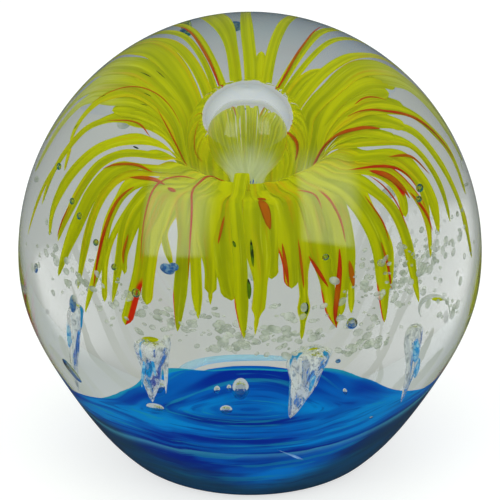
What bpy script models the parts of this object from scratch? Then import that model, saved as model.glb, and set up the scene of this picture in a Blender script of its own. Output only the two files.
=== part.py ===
"""A decorative glass ball: one solid piece of clear glass, turned about its upright axis, on a flat foot.

Units are metres and +Z is up. The origin is the middle of the foot, where the ball stands. The crown is
a little taller than half a sphere. Below its widest circle the ball draws in slightly, and the foot cuts
it off flat.
"""

import math

import bmesh
import bpy
from mathutils import Vector

# The crown and the taper are parts of two ellipses that share the widest circle of the ball.
WIDEST_RADIUS = 0.045
CROWN_HEIGHT = 0.0468
TAPER_DEPTH = 0.0504

# The taper is drawn in by this share of its radius, growing smoothly to its full value at this depth.
DRAWN_IN = 0.077
DRAWN_IN_DEPTH = 0.035

# The foot is a level below the widest circle, with a softly rounded edge that starts a little above it.
FOOT_BELOW_WIDEST = 0.041
EDGE_DEPTH = 0.0017

# How finely the round shapes are faceted.
CROWN_STEPS = 17
TAPER_STEPS = 14
EDGE_STEPS = 5
TURN_STEPS = 84
SEAM_MERGE = 0.00001

GLASS_COLOUR = (0.86, 0.90, 0.90, 1.0)
GLASS_ROUGHNESS = 0.02
GLASS_IOR = 1.5

COLLECTION_NAME = "decorative_glass_ball"
BALL_NAME = "glass_ball"


def clear_scene():
    """Remove every object that the scene starts with."""
    for obj in list(bpy.data.objects):
        bpy.data.objects.remove(obj, do_unlink=True)


def smooth_share(share):
    """Smooth rise from 0 to 1 as share goes from 0 to 1, with no sudden change of curvature."""
    share = min(max(share, 0.0), 1.0)
    return share**3 * (6.0 * share**2 - 15.0 * share + 10.0)


def crown_points():
    """Upper half of the outline, from the top of the ball out and down to its widest circle."""
    points = []
    for step in range(CROWN_STEPS + 1):
        angle = 0.5 * math.pi * step / CROWN_STEPS
        radius = WIDEST_RADIUS * math.sin(angle)
        points.append(Vector((radius, FOOT_BELOW_WIDEST + CROWN_HEIGHT * math.cos(angle))))
    return points


def taper_points():
    """Lower half of the outline, from just under the widest circle down to where the foot's edge starts."""
    last_angle = math.asin((FOOT_BELOW_WIDEST - EDGE_DEPTH) / TAPER_DEPTH)
    points = []
    for step in range(1, TAPER_STEPS + 1):
        angle = last_angle * step / TAPER_STEPS
        depth = TAPER_DEPTH * math.sin(angle)
        drawn_in = DRAWN_IN * smooth_share(depth / DRAWN_IN_DEPTH)
        radius = WIDEST_RADIUS * math.cos(angle) * (1.0 - drawn_in)
        points.append(Vector((radius, FOOT_BELOW_WIDEST - depth)))
    return points


def edge_points(before, start):
    """Rounded edge from the taper, which runs from before to start, to the flat foot."""
    slope = (start - before).normalized()
    corner = start - slope * (start.y / slope.y)
    end = Vector((corner.x - (corner - start).length, 0.0))
    points = []
    for step in range(1, EDGE_STEPS + 1):
        share = step / EDGE_STEPS
        towards_corner = start.lerp(corner, share)
        towards_end = corner.lerp(end, share)
        points.append(towards_corner.lerp(towards_end, share))
    return points


def ball_outline():
    """Whole outline, as (radius, height) points from the top of the ball to the middle of its foot."""
    outline = crown_points() + taper_points()
    outline += edge_points(outline[-2], outline[-1])
    outline.append(Vector((0.0, 0.0)))
    return outline


def outline_mesh(name, outline):
    """Mesh of an outline's points and edges in the XZ plane, at +X."""
    bm = bmesh.new()
    verts = [bm.verts.new((point.x, 0.0, point.y)) for point in outline]
    for upper, lower in zip(verts, verts[1:]):
        bm.edges.new((upper, lower))
    mesh = bpy.data.meshes.new(name)
    bm.to_mesh(mesh)
    bm.free()
    return mesh


def turn_about_z(obj):
    """Turn an object's outline into a solid of revolution about Z, and shade it smooth."""
    screw = obj.modifiers.new("turned", "SCREW")
    screw.axis = "Z"
    screw.angle = 2.0 * math.pi
    screw.screw_offset = 0.0
    screw.steps = TURN_STEPS
    screw.render_steps = TURN_STEPS
    screw.use_merge_vertices = True
    screw.merge_threshold = SEAM_MERGE
    screw.use_smooth_shade = True


def clear_glass():
    """Material of the ball: clear, hard and fire-polished."""
    material = bpy.data.materials.new("clear_glass")
    material.use_nodes = True
    shader = material.node_tree.nodes["Principled BSDF"]
    shader.inputs["Base Color"].default_value = GLASS_COLOUR
    shader.inputs["Metallic"].default_value = 0.0
    shader.inputs["Roughness"].default_value = GLASS_ROUGHNESS
    shader.inputs["IOR"].default_value = GLASS_IOR
    shader.inputs["Transmission Weight"].default_value = 1.0
    return material


def build_ball(collection):
    """Glass ball, standing on the middle of its foot."""
    mesh = outline_mesh(BALL_NAME, ball_outline())
    mesh.materials.append(clear_glass())
    ball = bpy.data.objects.new(BALL_NAME, mesh)
    collection.objects.link(ball)
    turn_about_z(ball)
    return ball


def main():
    """Build the part in an empty scene."""
    clear_scene()
    collection = bpy.data.collections.new(COLLECTION_NAME)
    bpy.context.scene.collection.children.link(collection)
    build_ball(collection)


main()
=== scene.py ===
"""A clear glass ball with a yellow flower, a blue bed and air bubbles sealed inside it."""

import logging
import math
from collections.abc import Mapping, Sequence
from dataclasses import dataclass, replace
from enum import Enum
from functools import cache
from typing import Any, Union

import bpy
import numpy as np
from mathutils import Matrix, Quaternion, Vector


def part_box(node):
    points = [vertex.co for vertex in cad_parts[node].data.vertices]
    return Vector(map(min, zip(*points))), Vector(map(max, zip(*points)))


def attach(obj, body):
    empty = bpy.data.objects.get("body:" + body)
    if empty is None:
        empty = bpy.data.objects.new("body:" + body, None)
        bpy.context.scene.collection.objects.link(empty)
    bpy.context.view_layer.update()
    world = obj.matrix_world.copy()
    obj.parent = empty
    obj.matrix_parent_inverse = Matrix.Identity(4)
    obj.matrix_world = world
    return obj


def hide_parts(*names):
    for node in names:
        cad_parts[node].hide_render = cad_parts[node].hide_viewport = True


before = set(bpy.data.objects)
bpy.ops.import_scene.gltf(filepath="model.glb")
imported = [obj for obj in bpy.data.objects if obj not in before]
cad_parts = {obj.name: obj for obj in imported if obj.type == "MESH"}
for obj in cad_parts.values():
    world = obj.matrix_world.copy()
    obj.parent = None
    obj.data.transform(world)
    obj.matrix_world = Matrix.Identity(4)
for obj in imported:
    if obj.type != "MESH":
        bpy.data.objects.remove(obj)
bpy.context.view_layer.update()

LOG = logging.getLogger("glass_ball")
BODY = "root"
CAD_NODE = "glass_ball"
CROWN = 1.04  # height of the dome over the widest circle, in radii
SQUEEZE = 0.02  # radii for each degree, so that a course through both is measured evenly

Colour = tuple[float, float, float, float]
Span = tuple[float, float]
Spot = tuple[float, float, float]
Operand = Union[float, "Wire"]


def shade(red: float, green: float, blue: float) -> Colour:
    """The linear colour of a paint mixed on the usual 0 to 255 scale.

    Args:
        red: its red, 0 to 255.
        green: its green, 0 to 255.
        blue: its blue, 0 to 255.

    Returns:
        The linear red, green and blue, and 1 for solid.
    """
    knee, slope, offset, power, top = 0.04045, 12.92, 0.055, 2.4, 255.0
    parts = [value / top for value in (red, green, blue)]
    linear = [v / slope if v <= knee else ((v + offset) / (1 + offset)) ** power for v in parts]
    return (linear[0], linear[1], linear[2], 1.0)


def ease(value: np.ndarray | float, low: float, high: float) -> np.ndarray:
    """A smooth step.

    Args:
        value: where to read the step.
        low: where it starts, at 0.
        high: where it ends, at 1.

    Returns:
        The height of the step, 0 to 1.
    """
    share = np.clip((np.asarray(value, float) - low) / (high - low), 0.0, 1.0)
    return share * share * (3.0 - 2.0 * share)


def hump(value: np.ndarray | float, middle: float, breadth: float) -> np.ndarray:
    """A smooth hump: 1 at its middle, falling away over its breadth."""
    return np.exp(-(((value - middle) / breadth) ** 2))


def angles(count: int) -> np.ndarray:
    """Angles evenly spaced round a full turn, in radians."""
    return np.arange(count) * 2 * math.pi / count


def put_in_scene(name: str, data: bpy.types.ID) -> bpy.types.Object:
    """A new object in the scene.

    Args:
        name: its name.
        data: its mesh, lamp or camera.

    Returns:
        The object.
    """
    made = bpy.data.objects.new(name, data)
    bpy.context.scene.collection.objects.link(made)
    return made


# ---------------------------------------------------------------- shader kit


class Wire:
    """One output of a shader's node, on which Python's operators add the nodes for the sum."""

    def __init__(self, recipe: "Recipe", socket: bpy.types.NodeSocket) -> None:
        """Keeps the recipe that the wire belongs to and the socket that it leaves from."""
        self.recipe = recipe
        self.socket = socket

    def __add__(self, other: Operand) -> "Wire":
        """This plus other."""
        return self.recipe.combine("ADD", self, other)

    def __radd__(self, other: Operand) -> "Wire":
        """Other plus this."""
        return self.recipe.combine("ADD", other, self)

    def __sub__(self, other: Operand) -> "Wire":
        """This minus other."""
        return self.recipe.combine("SUBTRACT", self, other)

    def __rsub__(self, other: Operand) -> "Wire":
        """Other minus this."""
        return self.recipe.combine("SUBTRACT", other, self)

    def __mul__(self, other: Operand) -> "Wire":
        """This times other."""
        return self.recipe.combine("MULTIPLY", self, other)

    def __rmul__(self, other: Operand) -> "Wire":
        """Other times this."""
        return self.recipe.combine("MULTIPLY", other, self)


class Recipe:
    """The nodes of one material, lamp or world, added one call at a time."""

    COLOURS = {"data_type": "RGBA"}
    MIX_SHARE, MIX_FIRST, MIX_SECOND, MIX_RESULT = 0, 6, 7, 2

    def __init__(self, tree: bpy.types.NodeTree) -> None:
        """Starts from the tree with its nodes cleared away."""
        self.tree = tree
        tree.nodes.clear()

    def add(
        self,
        kind: str,
        settings: Mapping[str, Any],
        sockets: Mapping[str | int, Any],
    ) -> bpy.types.Node:
        """Adds a node: its settings first, then its sockets.

        Args:
            kind: the node's type, without the ShaderNode that it starts with.
            settings: its properties.
            sockets: values, or wires to link, by socket name or number.

        Returns:
            The node.
        """
        made = self.tree.nodes.new("ShaderNode" + kind)
        for key, value in settings.items():
            setattr(made, key, value)
        for key, value in sockets.items():
            if isinstance(value, Wire):
                self.tree.links.new(value.socket, made.inputs[key])
            else:
                made.inputs[key].default_value = value
        return made

    def node(
        self,
        kind: str,
        settings: Mapping[str, Any] | None = None,
        sockets: Mapping[str | int, Any] | None = None,
        output: str | int = 0,
    ) -> Wire:
        """Adds a node and leaves from one of its outputs.

        Args:
            kind: the node's type, without the ShaderNode that it starts with.
            settings: its properties.
            sockets: values, or wires to link, by socket name or number.
            output: the output that the wire leaves from.

        Returns:
            The wire from that output.
        """
        return Wire(self, self.add(kind, settings or {}, sockets or {}).outputs[output])

    def combine(self, operation: str, first: Operand, second: Operand) -> Wire:
        """One step of arithmetic, by the node that suits what comes in.

        Args:
            operation: the name that the Math, Vector Math and Mix nodes share.
            first: the left-hand value.
            second: the right-hand value.

        Returns:
            The wire with the answer.
        """
        kinds = {value.socket.type for value in (first, second) if isinstance(value, Wire)}
        if "RGBA" in kinds:
            settings = {**self.COLOURS, "blend_type": operation}
            sockets = {self.MIX_SHARE: 1.0, self.MIX_FIRST: first, self.MIX_SECOND: second}
            return self.node("Mix", settings, sockets, self.MIX_RESULT)
        if "VECTOR" in kinds:
            pair = [v if isinstance(v, Wire) else (v, v, v) for v in (first, second)]
            return self.node("VectorMath", {"operation": operation}, {0: pair[0], 1: pair[1]})
        return self.node("Math", {"operation": operation}, {0: first, 1: second})

    def blend(self, share: Operand, first: Colour | Wire, second: Colour | Wire) -> Wire:
        """A colour between two others.

        Args:
            share: 0 for the first colour, 1 for the second.
            first: the first colour.
            second: the second colour.

        Returns:
            The wire with the colour.
        """
        sockets = {self.MIX_SHARE: share, self.MIX_FIRST: first, self.MIX_SECOND: second}
        return self.node("Mix", self.COLOURS, sockets, self.MIX_RESULT)

    def step(self, value: Wire, low: float, high: float) -> Wire:
        """A number turned to a smooth step, from 0 at low to 1 at high."""
        settings = {"interpolation_type": "SMOOTHSTEP"}
        return self.node("MapRange", settings, {"Value": value, "From Min": low, "From Max": high})

    def mark(self, name: str) -> Wire:
        """The number that a mesh carries under a name at each of its points."""
        return self.node("Attribute", {"attribute_name": name}, output="Fac")

    def place(self) -> Wire:
        """The point of the surface, in metres."""
        return self.node("TexCoord", output="Object")

    def noise(self, where: Wire, scale: float, detail: float = 2.0, rough: float = 0.5) -> Wire:
        """Soft random mottling, about 0.5 on average: how fine, with how many finer and how strong layers."""
        sockets = {"Vector": where, "Scale": scale, "Detail": detail, "Roughness": rough}
        return self.node("TexNoise", sockets=sockets)

    def vector(self, across: Operand, along: Operand, up: Operand) -> Wire:
        """Three numbers as one vector."""
        return self.node("CombineXYZ", sockets={0: across, 1: along, 2: up})

    def part(self, vector: Wire, axis: int) -> Wire:
        """One of a vector's three numbers."""
        return self.node("SeparateXYZ", sockets={0: vector}, output=axis)

    def bump(self, height: Wire, strength: float, distance: float) -> Wire:
        """The surface's direction, tipped by a height."""
        return self.node("Bump", sockets={"Strength": strength, "Distance": distance, "Height": height})

    def coat(
        self,
        colour: Colour | Wire,
        roughness: float = 0.9,
        gloss: float = 0.0,
        glow: float | None = None,
        cover: Wire | None = None,
        more: Mapping[str, Any] | None = None,
    ) -> Wire:
        """The surface shader of coloured glass.

        Args:
            colour: its colour.
            roughness: how matt it is.
            gloss: how strongly it mirrors.
            glow: how much of its own colour it gives off, a painted glow that stands in for light coming
                through it and lifts it where it lies in shade.
            cover: how much it hides of what is behind it.
            more: any other sockets.

        Returns:
            The wire with the shader.
        """
        sockets = {"Base Color": colour, "Roughness": roughness, "Specular IOR Level": gloss, **(more or {})}
        # A glow feeds the colour to the emission as well: painted light, though the glass is no lamp.
        if glow is not None:
            sockets.update({"Emission Color": colour, "Emission Strength": glow})
        if cover is not None:
            sockets["Alpha"] = cover
        return self.node("BsdfPrincipled", sockets=sockets)

    def end(self, shader: Wire, kind: str = "OutputMaterial") -> None:
        """Ends the recipe at its output node."""
        self.add(kind, {}, {0: shader})


# ------------------------------------------------------------------ finishes


@dataclass(frozen=True)
class Layer:
    """A colour laid over others where a number passes from one end of a span to the other."""

    colour: Colour
    span: Span
    strength: float = 1.0

    def over(self, below: Colour | Wire, value: Wire, where: Operand = 1.0) -> Wire:
        """Lays the colour.

        Args:
            below: the colours under it.
            value: the number that is read against the span.
            where: thins the layer further, 0 to 1.

        Returns:
            The wire with the colours together.
        """
        recipe = value.recipe
        share = recipe.step(value, *self.span) * (self.strength * where)
        return recipe.blend(share, below, self.colour)


@dataclass(frozen=True)
class Finish:
    """What all finishes share: a name, and a material made by a recipe."""

    name: str

    def surface(self, recipe: Recipe) -> Wire:
        """The finish's own surface shader."""
        raise NotImplementedError

    @cache
    def build(self) -> bpy.types.Material:
        """Makes the material once, however many pieces ask for it.

        Returns:
            The material.
        """
        material = bpy.data.materials.new(self.name)
        material.use_nodes = True
        recipe = Recipe(material.node_tree)
        recipe.end(self.surface(recipe))
        return material


@dataclass(frozen=True)
class ClearGlass(Finish):
    """The colourless glass of the ball, with a very faint ripple left by the working of the glass."""

    name: str = "clear_glass"
    tint: Colour = (0.985, 0.992, 0.99, 1.0)
    bend: float = 1.5
    ripple: float = 0.02
    ripple_depth: float = 0.0002
    ripple_scale: float = 60.0

    def surface(self, recipe: Recipe) -> Wire:
        """Glass that light passes straight through."""
        height = recipe.noise(recipe.place(), self.ripple_scale, 1.0)
        return recipe.node("BsdfPrincipled", sockets={
            "Base Color": self.tint, "Roughness": 0.0, "IOR": self.bend, "Transmission Weight": 1.0,
            "Normal": recipe.bump(height, self.ripple, self.ripple_depth)})


@dataclass(frozen=True)
class Air(Finish):
    """The boundary of an air bubble: seen from the glass, light bends the other way."""

    name: str = "air_bubble"
    tint: Colour = (1.0, 1.0, 1.0, 1.0)
    bend: float = 1.5
    wrinkle: float = 0.0
    wrinkle_depth: float = 0.0003
    wrinkle_scale: float = 900.0
    drawn: float = 1.0

    def surface(self, recipe: Recipe) -> Wire:
        """Glass turned inside out, wrinkled where the bubble was drawn."""
        height = recipe.noise(recipe.place() * recipe.vector(1.0, 1.0, self.drawn), self.wrinkle_scale)
        bump = recipe.bump(height, self.wrinkle, self.wrinkle_depth)
        sockets = {"Color": self.tint, "Roughness": 0.0, "IOR": 1.0 / self.bend, "Normal": bump}
        return recipe.node("BsdfGlass", sockets=sockets)


@dataclass(frozen=True)
class PetalGlass(Finish):
    """Drawn yellow glass: streaks run along it, its fold is pale, its edges amber, olive or red."""

    name: str = "yellow_glass"
    olive: Colour = shade(134, 144, 0)
    mist: Colour = shade(168, 176, 96)
    yellow: Layer = Layer(shade(162, 168, 0), (0.36, 0.64))
    pale: Layer = Layer(shade(190, 196, 48), (0.56, 0.76), 0.4)
    dull: Layer = Layer(olive, (0.44, 0.24), 0.4)
    amber_edge: Layer = Layer(shade(172, 120, 0), (0.5, 0.62), 0.35)
    amber_tide: Layer = Layer(shade(172, 120, 0), (0.54, 0.64), 0.5)
    red: Layer = Layer(shade(176, 34, 4), (0.35, 0.75))
    milk: Layer = Layer(shade(176, 184, 158), (-0.12, -0.32), 0.94)
    edge: Span = (0.6, 1.0)
    warm: Span = (0.44, 0.62)
    misty: Span = (0.3, 0.7)
    spread: Span = (40.0, 17.0)
    stretch: float = 0.9
    broad_scale: float = 1.3
    fine_scale: float = 5.0
    tide_spread: float = 61.0
    tide_stretch: Span = (1.4, 0.6)
    root_drift: float = 0.25
    # Painted glow: the petals give off their own colour, so where they lie in shade under and between each
    # other they stay bright yellow.
    glow: float = 0.43
    depth: float = 0.0012
    depth_by_colour: Spot = (1.0, 1.0, 0.3)

    def surface(self, recipe: Recipe) -> Wire:
        """Streaks first, then amber, then the thin, the red and the pale stretches, all given a painted glow.
        """
        across, along, seed, faint, red, root = map(
            recipe.mark, ("across", "along", "seed", "faint", "red", "root"))
        lengthwise = recipe.vector(
            across + seed * self.spread[0], along * self.stretch, seed * self.spread[1])
        broad = recipe.noise(lengthwise, self.broad_scale)
        fine = recipe.noise(lengthwise, self.fine_scale, 3.0, 0.6)
        colour = self.yellow.over(self.olive, broad)
        colour = self.pale.over(colour, fine)
        colour = self.dull.over(colour, fine)
        colour = self.amber_edge.over(colour, broad, recipe.step(across * across, *self.edge))
        drifting = recipe.vector(
            seed * self.tide_spread, along * self.tide_stretch[0], across * self.tide_stretch[1])
        tide = recipe.noise(drifting, 1.0, 2.0, 0.6)
        colour = self.amber_tide.over(colour, tide, recipe.step(fine, *self.warm))
        colour = recipe.blend(faint * (0.5 + recipe.step(fine, *self.misty)), colour, self.mist)
        colour = self.red.over(colour, red)
        colour = self.milk.over(colour, root + fine * self.root_drift)
        return recipe.coat(colour, glow=self.glow, more={
            "Subsurface Weight": 1.0, "Subsurface Radius": self.depth_by_colour,
            "Subsurface Scale": self.depth})


@dataclass(frozen=True)
class RedGlass(Finish):
    """Thin drawn threads of red glass, browner where they are thin."""

    name: str = "red_glass"
    red: Colour = shade(198, 58, 6)
    brown: Colour = shade(190, 104, 4)
    thick: Span = (0.40, 0.58)
    stretch: float = 3.0
    spread: float = 40.0

    def surface(self, recipe: Recipe) -> Wire:
        """Brown under patches of red."""
        along, seed, tone = map(recipe.mark, ("along", "seed", "tone"))
        patchy = recipe.noise(recipe.vector(along * self.stretch, seed * self.spread, 0.0), 2.0)
        redness = recipe.step(patchy, *self.thick) * (1.0 - tone)
        return recipe.coat(recipe.blend(redness, self.brown, self.red))


@dataclass(frozen=True)
class Cover:
    """How solid a thin glass looks: on average, how far that swings, and how fine the swings are."""

    average: float
    swing: float
    scale: float

    def read(self, recipe: Recipe) -> Wire:
        """The cover at each point."""
        return self.average + (recipe.noise(recipe.place(), self.scale) - 0.5) * self.swing


@dataclass(frozen=True)
class Speckled(Finish):
    """Glass mottled in two colours, and half clear where it has a cover."""

    ground: Colour
    speckle: Layer
    grain: Spot
    roughness: float = 0.9
    gloss: float = 0.0
    # Painted glow: where set, the glass gives off its own colour, lifting it where it lies in shade.
    glow: float | None = None
    cover: Cover | None = None

    def surface(self, recipe: Recipe) -> Wire:
        """The speckles over their ground."""
        colour = self.speckle.over(self.ground, recipe.noise(recipe.place(), *self.grain))
        cover = self.cover.read(recipe) if self.cover else None
        return recipe.coat(colour, self.roughness, self.gloss, self.glow, cover)


DARK_SPECKS = Speckled(
    "dark_fleck", shade(30, 40, 14), Layer(shade(92, 130, 10), (0.4, 0.6)), (700.0, 2.0, 0.5))
BLUE_CRUMB = Speckled(
    "blue_crumb", shade(18, 104, 180), Layer(shade(120, 170, 196), (0.42, 0.60)), (1500.0, 3.0, 0.7),
    roughness=0.6, gloss=0.3, glow=0.0, cover=Cover(0.8, 1.0, 900.0))
# The turquoise streaks carry a painted glow.
TURQUOISE = replace(
    BLUE_CRUMB, name="turquoise_glass", ground=shade(20, 146, 206),
    speckle=Layer(shade(150, 204, 220), (0.42, 0.60)), glow=0.25)
# The frit flecks carry a painted glow.
PALE_FRIT = Speckled(
    "white_frit", shade(148, 160, 140), Layer(shade(190, 198, 182), (0.35, 0.65)), (500.0, 2.0, 0.5),
    roughness=0.7, glow=0.35, cover=Cover(0.45, 0.9, 260.0))
BLUE_FRIT = replace(
    PALE_FRIT, name="pale_blue_frit", ground=shade(110, 164, 214),
    speckle=Layer(shade(150, 196, 232), (0.35, 0.65)), cover=Cover(0.8, 0.9, 260.0))


@dataclass(frozen=True)
class BlueBed(Finish):
    """The blue glass of the bed: rings of turquoise and deep blue wound round as it was spun."""

    name: str = "blue_glass"
    navy: Colour = shade(0, 44, 158)
    turquoise: Colour = shade(30, 156, 184)
    cyan: Colour = shade(90, 190, 220)
    blue: Layer = Layer(shade(0, 98, 196), (0.38, 0.50))
    bright: Layer = Layer(shade(0, 138, 224), (0.50, 0.62))
    lines: Layer = Layer(turquoise, (0.56, 0.64), 0.5)
    grooves: Layer = Layer(navy, (0.44, 0.34), 0.55)
    # Painted shade: a dark teal laid over the bed's low part, where it lies in shade near the floor.
    dark: Layer = Layer(shade(32, 72, 96), (-0.53, -0.69))
    upper_band: Span = (-0.46, -0.56)
    lower_band: Span = (-0.60, -0.74)
    corner: Span = (-0.1, 0.26)
    corner_shade_depth: float = 0.8
    lift: float = 0.04
    lower_painted_light: float = 0.17
    upper_drop: float = 0.12
    slow_grain: Span = (1.7, 0.8)
    quick_grain: Span = (2.4, 3.4)
    streak: Span = (0.3, 0.16)
    shade_strength: Span = (0.66, 0.42)
    drift: float = 0.10
    rings: float = 6.0
    heel: float = 0.85
    # Painted glow: the bed gives off its own colour so that its shaded parts stay lit.
    glow: float = 0.25
    radius: float = 0.045

    def surface(self, recipe: Recipe) -> Wire:
        """Wound rings first, then painted shade darkening the low part and the corners, then the marks that
        the mesh carries.
        """
        place, level, wound = recipe.place(), recipe.mark("level"), recipe.mark("wound")
        flat = place * recipe.vector(1.0 / self.radius, 1.0 / self.radius, 0.0)
        drift = recipe.noise(place, 40.0) * self.drift
        rings = recipe.vector(0.0, 0.0, (wound + drift) * self.rings)
        # Just below the rim the blue turns darker; lower down a band is brightened again as painted light,
        # standing in for light inside the glass.
        upper, lower = recipe.step(level, *self.upper_band), recipe.step(level, *self.lower_band)
        bands = lower * self.lower_painted_light - upper * self.upper_drop + self.lift
        slow = recipe.noise(flat * self.slow_grain[0] + rings * self.slow_grain[1], 1.0, 3.0) + bands
        quick = recipe.noise(flat * self.quick_grain[0] + rings * self.quick_grain[1], 1.0, 3.0, 0.6)
        colour = self.blue.over(self.navy, slow)
        colour = self.bright.over(colour, slow)
        colour = self.lines.over(colour, quick)
        colour = self.grooves.over(colour, quick)
        # Painted shade: the dark layer covers the low part of the bed and rises higher towards its corners,
        # thinned in rings by the quick grain.
        aside, fore = recipe.part(flat, 0), recipe.part(flat, 1)
        corner = aside * aside * recipe.step(fore * fore, *self.corner) * self.corner_shade_depth
        shade_edge_noise = recipe.noise(flat, 1.3) * self.streak[0] + (quick - 0.5) * self.streak[1]
        cover = self.shade_strength[0] + quick * self.shade_strength[1]
        colour = self.dark.over(colour, level + shade_edge_noise - corner, cover)
        colour = recipe.blend(recipe.mark("heel") * self.heel, colour, self.navy)
        colour = recipe.blend(recipe.mark("brow") * (0.3 + recipe.noise(flat, 3.0)), colour, self.turquoise)
        colour = recipe.blend(recipe.mark("lip") * recipe.noise(flat, 1.6), colour, self.cyan)
        return recipe.coat(colour, 0.85, glow=self.glow)


@dataclass(frozen=True)
class Frost(Finish):
    """The crackled white skin of a long bubble, with clear slivers between the cracks."""

    name: str = "crackled_skin"
    grey: Colour = shade(146, 156, 154)
    white: Layer = Layer(shade(214, 220, 214), (0.34, 0.52))
    blue: Colour = shade(14, 140, 196)
    drawn: float = 0.16
    sliver: Span = (0.61, 0.65)
    cracks: Span = (0.56, 0.49)
    film: float = 0.06
    crack_cover: float = 0.72
    sliver_cover: float = 0.4
    # Painted glow: the skin gives off its own colour, lifting it where it lies in shade.
    glow: float = 0.3

    def surface(self, recipe: Recipe) -> Wire:
        """Grey and white grains, blue slivers, and gaps where it is clear."""
        long = recipe.place() * recipe.vector(1.0, 1.0, self.drawn)
        cracks = recipe.step(recipe.noise(long, 700.0, 4.0, 0.65), *self.cracks)
        sliver = recipe.step(recipe.noise(long, 420.0, 1.0), *self.sliver)
        colour = self.white.over(self.grey, recipe.noise(recipe.place(), 1300.0, 3.0, 0.7))
        colour = recipe.blend(sliver, colour, self.blue)
        cover = self.film + cracks * self.crack_cover + sliver * self.sliver_cover
        return recipe.coat(colour, 0.6, 0.3, self.glow, cover)


@dataclass(frozen=True)
class Veil(Finish):
    """Blue glass drawn so thin that it is hardly more than a tint."""

    name: str = "thin_blue"
    cyan: Colour = shade(140, 212, 230)
    cover: Span = (0.15, 0.5)
    grain: float = 160.0
    # Painted glow: the wisp gives off its own cyan, so it stays bright where it lies in shade.
    glow: float = 0.3

    def surface(self, recipe: Recipe) -> Wire:
        """A tint that thins out with the wisp's body."""
        mottled = self.cover[0] + recipe.noise(recipe.place(), self.grain) * self.cover[1]
        return recipe.coat(self.cyan, 0.8, glow=self.glow, cover=recipe.mark("body") * mottled)


# ------------------------------------------------------------------- meshing


class Draft:
    """A mesh put together from closed skins."""

    def __init__(self) -> None:
        """Starts with nothing in it."""
        self.points: list[np.ndarray] = []
        self.faces: list[list[int]] = []
        self.marks: dict[str, list[np.ndarray]] = {}
        self.count = 0

    def skin(self, grid: np.ndarray, *ends: np.ndarray, **marks: np.ndarray | float) -> None:
        """Adds a closed skin, with its faces turned outwards.

        Args:
            grid: points as rows x places round each row x 3.
            *ends: the points that shut the first and the last row, their middles if left out.
            **marks: numbers for the shader, as rows x places round, or one for all.
        """
        rows, around = grid.shape[:2]
        shut = ends or (grid[0].mean(axis=0), grid[-1].mean(axis=0))
        points = np.vstack([grid.reshape(-1, 3), *shut])
        index = np.arange(rows * around).reshape(rows, around)
        onward = np.roll(index, -1, axis=1)
        quads = np.stack([index[:-1], onward[:-1], onward[1:], index[1:]], axis=-1).reshape(-1, 4)
        first, last = rows * around, rows * around + 1
        fans = [[first, b, a] for a, b in zip(index[0], onward[0])]
        fans += [[last, a, b] for a, b in zip(index[-1], onward[-1])]
        faces = [list(map(int, face)) for face in [*quads, *fans]]
        if self._volume(points, faces) < 0.0:
            faces = [face[::-1] for face in faces]
        self.points.append(points)
        self.faces += [[corner + self.count for corner in face] for face in faces]
        self.count += len(points)
        for name, value in marks.items():
            spread = np.broadcast_to(np.asarray(value, float), (rows, around))
            closing = [spread[0].mean(), spread[-1].mean()]
            self.marks.setdefault(name, []).append(np.concatenate([spread.ravel(), closing]))

    @staticmethod
    def _volume(points: np.ndarray, faces: Sequence[Sequence[int]]) -> float:
        """Six times the volume that a skin holds, below zero where its faces point inwards."""
        corners = np.array([[f[0], f[i], f[i + 1]] for f in faces for i in range(1, len(f) - 1)])
        return float(np.linalg.det((points - points.mean(axis=0))[corners]).sum())

    def make(self, name: str, finish: bpy.types.Material) -> bpy.types.Object:
        """Makes the piece, sets it to ride with the ball, and reports it.

        Args:
            name: its name.
            finish: its material.

        Returns:
            The new object, in the scene.
        """
        mesh = bpy.data.meshes.new(name)
        mesh.from_pydata(np.vstack(self.points).tolist(), [], self.faces)
        for mark, values in self.marks.items():
            layer = mesh.attributes.new(mark, "FLOAT", "POINT")
            layer.data.foreach_set("value", np.concatenate(values).astype(np.float32))
        mesh.shade_smooth()
        mesh.materials.append(finish)
        piece = put_in_scene(name, mesh)
        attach(piece, BODY)
        LOG.info("%s: %d points", piece.name, len(mesh.vertices))
        return piece


@dataclass(frozen=True)
class Seat:
    """Where the ball stands: its radius, and the middle of its widest circle, in metres."""

    radius: float
    middle: Spot

    def at(self, azimuth: Any, reach: Any, level: Any) -> np.ndarray:
        """Points of the ball from round figures, in radii.

        Args:
            azimuth: degrees round the axis from the front, rising towards the right.
            reach: distance from the axis.
            level: height over the widest circle.

        Returns:
            The points, in metres.
        """
        turn = np.radians(azimuth)
        parts = np.broadcast_arrays(np.sin(turn) * reach, -np.cos(turn) * reach, level)
        return np.stack(parts, axis=-1) * self.radius + np.array(self.middle)

    def set_down(self, shape: np.ndarray, azimuth: float, reach: float, level: float) -> np.ndarray:
        """Points of a shape set down in the ball.

        Args:
            shape: its points, as distances round the axis, outwards and up, in radii.
            azimuth: where its own zero goes, in degrees round the axis.
            reach: the distance of its zero from the axis.
            level: the level of its zero.

        Returns:
            The points, in metres.
        """
        turn = math.radians(azimuth)
        sideways = [math.cos(turn), math.sin(turn), 0.0]
        outwards = [math.sin(turn), -math.cos(turn), 0.0]
        axes = np.array([sideways, outwards, [0.0, 0.0, 1.0]])
        return shape @ axes * self.radius + self.at(azimuth, reach, level)


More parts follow.
